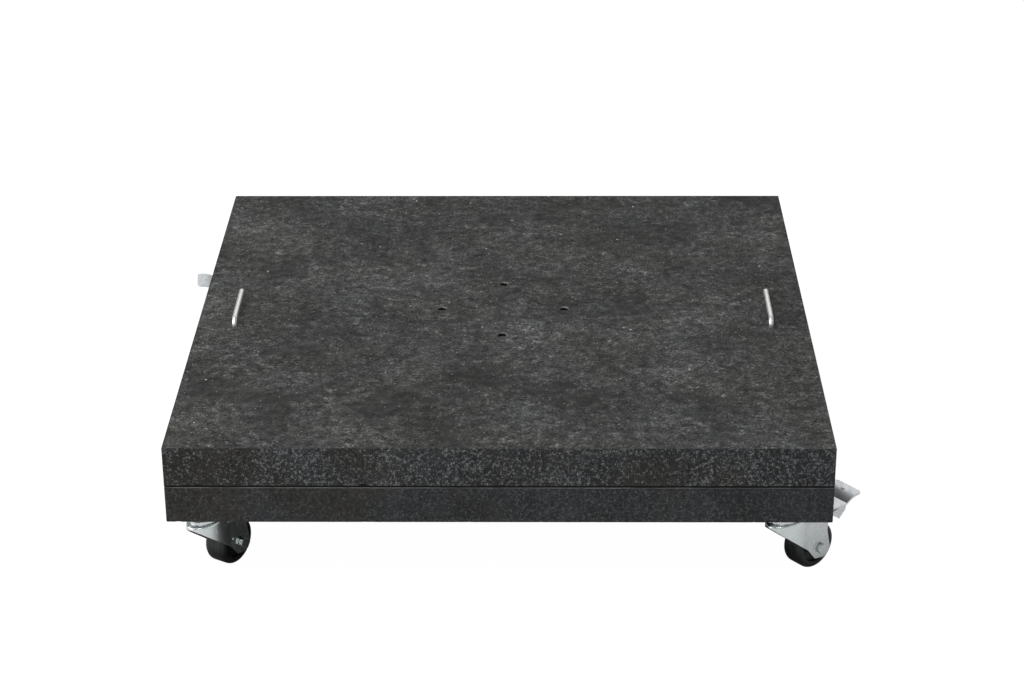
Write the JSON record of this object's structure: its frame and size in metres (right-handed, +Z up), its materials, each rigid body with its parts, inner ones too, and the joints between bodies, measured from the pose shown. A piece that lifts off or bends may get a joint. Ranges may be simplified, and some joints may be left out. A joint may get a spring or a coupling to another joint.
{
  "type": "parasol base",
  "caption": "Wheeled parasol base: two stacked granite slabs with pull-up U handles, mast bolt sleeves and swivel casters, some with brake pedals.",
  "frame": {"origin": "centre of the upper slab's top face, on the mast's axis", "axes": "+Z up along the mast, -Y the front, +X to the right seen from the front"},
  "size_m": [0.7895, 0.7134, 0.1821],
  "materials": {
    "granite": "flamed dark grey granite with fine pale flecks",
    "bright_steel": "bright drawn bar",
    "zinc": "bright zinc plate on pressed steel",
    "bearing_steel": "plain steel",
    "black_rubber": "satin black moulding"
  },
  "bodies": {
    "base": {"upper_slab": "granite", "lower_slab": "granite", "mast_sleeve_1": "bearing_steel", "mast_sleeve_2": "bearing_steel", "mast_sleeve_3": "bearing_steel", "mast_sleeve_4": "bearing_steel", "caster_plate_front_left": "zinc", "ball_ring_front_left": "bearing_steel", "kingpin_front_left": "zinc", "plate_screw_front_left_1": "zinc", "plate_screw_front_left_2": "zinc", "plate_screw_front_left_3": "zinc", "plate_screw_front_left_4": "zinc", "caster_plate_front_right": "zinc", "ball_ring_front_right": "bearing_steel", "kingpin_front_right": "zinc", "plate_screw_front_right_1": "zinc", "plate_screw_front_right_2": "zinc", "plate_screw_front_right_3": "zinc", "plate_screw_front_right_4": "zinc", "caster_plate_rear_left": "zinc", "ball_ring_rear_left": "bearing_steel", "kingpin_rear_left": "zinc", "plate_screw_rear_left_1": "zinc", "plate_screw_rear_left_2": "zinc", "plate_screw_rear_left_3": "zinc", "plate_screw_rear_left_4": "zinc", "caster_plate_rear_right": "zinc", "ball_ring_rear_right": "bearing_steel", "kingpin_rear_right": "zinc", "plate_screw_rear_right_1": "zinc", "plate_screw_rear_right_2": "zinc", "plate_screw_rear_right_3": "zinc", "plate_screw_rear_right_4": "zinc"},
    "pull_left": {"handle_left": "bright_steel", "stop_nut_left_front": "zinc", "stop_nut_left_rear": "zinc"},
    "pull_right": {"handle_right": "bright_steel", "stop_nut_right_front": "zinc", "stop_nut_right_rear": "zinc"},
    "swivel_front_left": {"fork_front_left": "zinc", "axle_bolt_front_left": "zinc", "axle_nut_front_left": "zinc"},
    "roll_front_left": {"wheel_front_left": "black_rubber"},
    "swivel_front_right": {"fork_front_right": "zinc", "axle_bolt_front_right": "zinc", "axle_nut_front_right": "zinc", "pedal_pin_front_right": "zinc"},
    "roll_front_right": {"wheel_front_right": "black_rubber"},
    "brake_front_right": {"brake_pedal_front_right": "zinc"},
    "swivel_rear_left": {"fork_rear_left": "zinc", "axle_bolt_rear_left": "zinc", "axle_nut_rear_left": "zinc", "pedal_pin_rear_left": "zinc"},
    "roll_rear_left": {"wheel_rear_left": "black_rubber"},
    "brake_rear_left": {"brake_pedal_rear_left": "zinc"},
    "swivel_rear_right": {"fork_rear_right": "zinc", "axle_bolt_rear_right": "zinc", "axle_nut_rear_right": "zinc"},
    "roll_rear_right": {"wheel_rear_right": "black_rubber"}
  },
  "joints": [
    {"name": "handle_left_pull", "type": "slide", "parent": "base", "child": "pull_left", "axis": [0, 0, 1], "range_m": [0, 0.034]},
    {"name": "handle_right_pull", "type": "slide", "parent": "base", "child": "pull_right", "axis": [0, 0, 1], "range_m": [0, 0.034]},
    {"name": "front_left_swivel", "type": "hinge", "parent": "base", "child": "swivel_front_left", "pos_m": [-0.31, -0.31, -0.088], "axis": [0, 0, 1], "continuous": true},
    {"name": "front_left_roll", "type": "hinge", "parent": "swivel_front_left", "child": "roll_front_left", "pos_m": [-0.29474, -0.2851, -0.1435], "axis": [-0.8526, 0.5225, 0], "continuous": true},
    {"name": "front_right_swivel", "type": "hinge", "parent": "base", "child": "swivel_front_right", "pos_m": [0.31, -0.31, -0.088], "axis": [0, 0, 1], "continuous": true},
    {"name": "front_right_roll", "type": "hinge", "parent": "swivel_front_right", "child": "roll_front_right", "pos_m": [0.33237, -0.29123, -0.1435], "axis": [-0.6428, 0.766, 0], "continuous": true},
    {"name": "front_right_brake", "type": "hinge", "parent": "swivel_front_right", "child": "brake_front_right", "pos_m": [0.33451, -0.28943, -0.108], "axis": [-0.6428, 0.766, 0], "range_deg": [0, 18]},
    {"name": "rear_left_swivel", "type": "hinge", "parent": "base", "child": "swivel_rear_left", "pos_m": [-0.31, 0.31, -0.088], "axis": [0, 0, 1], "continuous": true},
    {"name": "rear_left_roll", "type": "hinge", "parent": "swivel_rear_left", "child": "roll_rear_left", "pos_m": [-0.33898, 0.30644, -0.1435], "axis": [0.1219, -0.9925, 0], "continuous": true},
    {"name": "rear_left_brake", "type": "hinge", "parent": "swivel_rear_left", "child": "brake_rear_left", "pos_m": [-0.34176, 0.3061, -0.108], "axis": [0.1219, -0.9925, 0], "range_deg": [0, 18]},
    {"name": "rear_right_swivel", "type": "hinge", "parent": "base", "child": "swivel_rear_right", "pos_m": [0.31, 0.31, -0.088], "axis": [0, 0, 1], "continuous": true},
    {"name": "rear_right_roll", "type": "hinge", "parent": "swivel_rear_right", "child": "roll_rear_right", "pos_m": [0.32371, 0.33578, -0.1435], "axis": [-0.8829, 0.4695, 0], "continuous": true}
  ]
}
